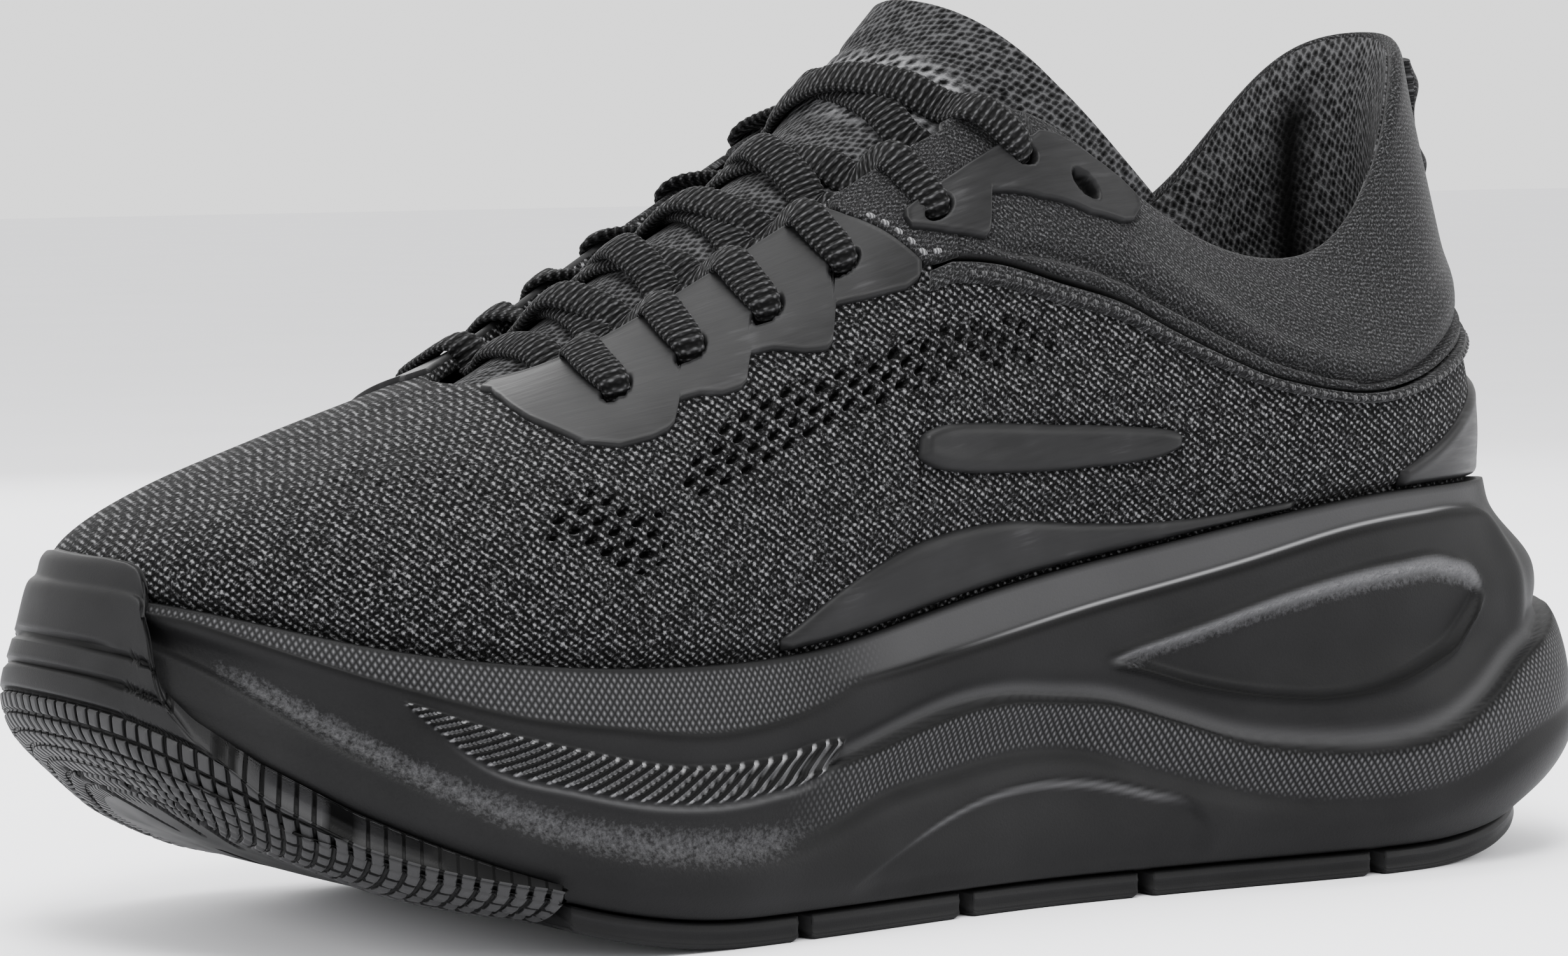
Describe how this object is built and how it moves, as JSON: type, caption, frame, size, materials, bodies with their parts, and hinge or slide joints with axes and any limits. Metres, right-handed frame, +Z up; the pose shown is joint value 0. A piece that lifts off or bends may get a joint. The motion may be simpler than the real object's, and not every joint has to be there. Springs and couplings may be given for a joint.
{
  "type": "running shoe",
  "caption": "Left low-cut road running shoe with a thick rockered foam sole, rubber outsole pads, knit upper, padded collar, flat laces and a padded tongue that bends down into the foot space.",
  "frame": {"origin": "on the ground under the middle of the shoe's plan bounding box", "axes": "+Z up, +X towards the heel (toe at -X), -Y towards the outer (lateral) side of this left shoe"},
  "size_m": [0.2967, 0.116, 0.151],
  "materials": {
    "foam": "matte moulded foam",
    "outsole_rubber": "satin",
    "knit": "heathered knit",
    "film": "satin fused film",
    "collar_fabric": "brushed fabric",
    "lace_cord": "ribbed weave",
    "lining": "open mesh",
    "padding": "open-cell foam",
    "stiffener": "matte",
    "board": "felted"
  },
  "bodies": {
    "shoe": {"aglet_lateral": "stiffener", "aglet_medial": "stiffener", "collar_foam": "padding", "collar_lining": "lining", "collar_panel": "collar_fabric", "eyelet_tab_lateral": "film", "eyelet_tab_medial": "film", "eyestay_lateral": "film", "eyestay_medial": "film", "heel_counter": "stiffener", "heel_overlay": "film", "heel_pull_tab": "collar_fabric", "lace": "lace_cord", "midsole": "foam", "outsole_arch_pod_lateral": "outsole_rubber", "outsole_arch_pod_medial": "outsole_rubber", "outsole_ball_pod_lateral": "outsole_rubber", "outsole_ball_pod_medial": "outsole_rubber", "outsole_forefoot_pod_lateral": "outsole_rubber", "outsole_forefoot_pod_medial": "outsole_rubber", "outsole_heel_pod_lateral": "outsole_rubber", "outsole_heel_pod_medial": "outsole_rubber", "outsole_midfoot_pod_lateral": "outsole_rubber", "outsole_midfoot_pod_medial": "outsole_rubber", "outsole_toe": "outsole_rubber", "quarter_binding": "collar_fabric", "side_patch_lateral": "film", "side_patch_medial": "film", "side_rand_lateral": "film", "side_rand_medial": "film", "sockliner": "lining", "strobel_board": "board", "toe_puff": "stiffener", "upper_knit": "knit"},
    "tongue": {"tongue_face": "collar_fabric", "tongue_foam": "padding", "tongue_lining": "lining"}
  },
  "joints": [
    {"name": "tongue_bend", "type": "hinge", "parent": "shoe", "child": "tongue", "pos_m": [-0.08059, 0.00386, 0.08], "axis": [0, 1, 0], "range_deg": [0, 8]}
  ]
}
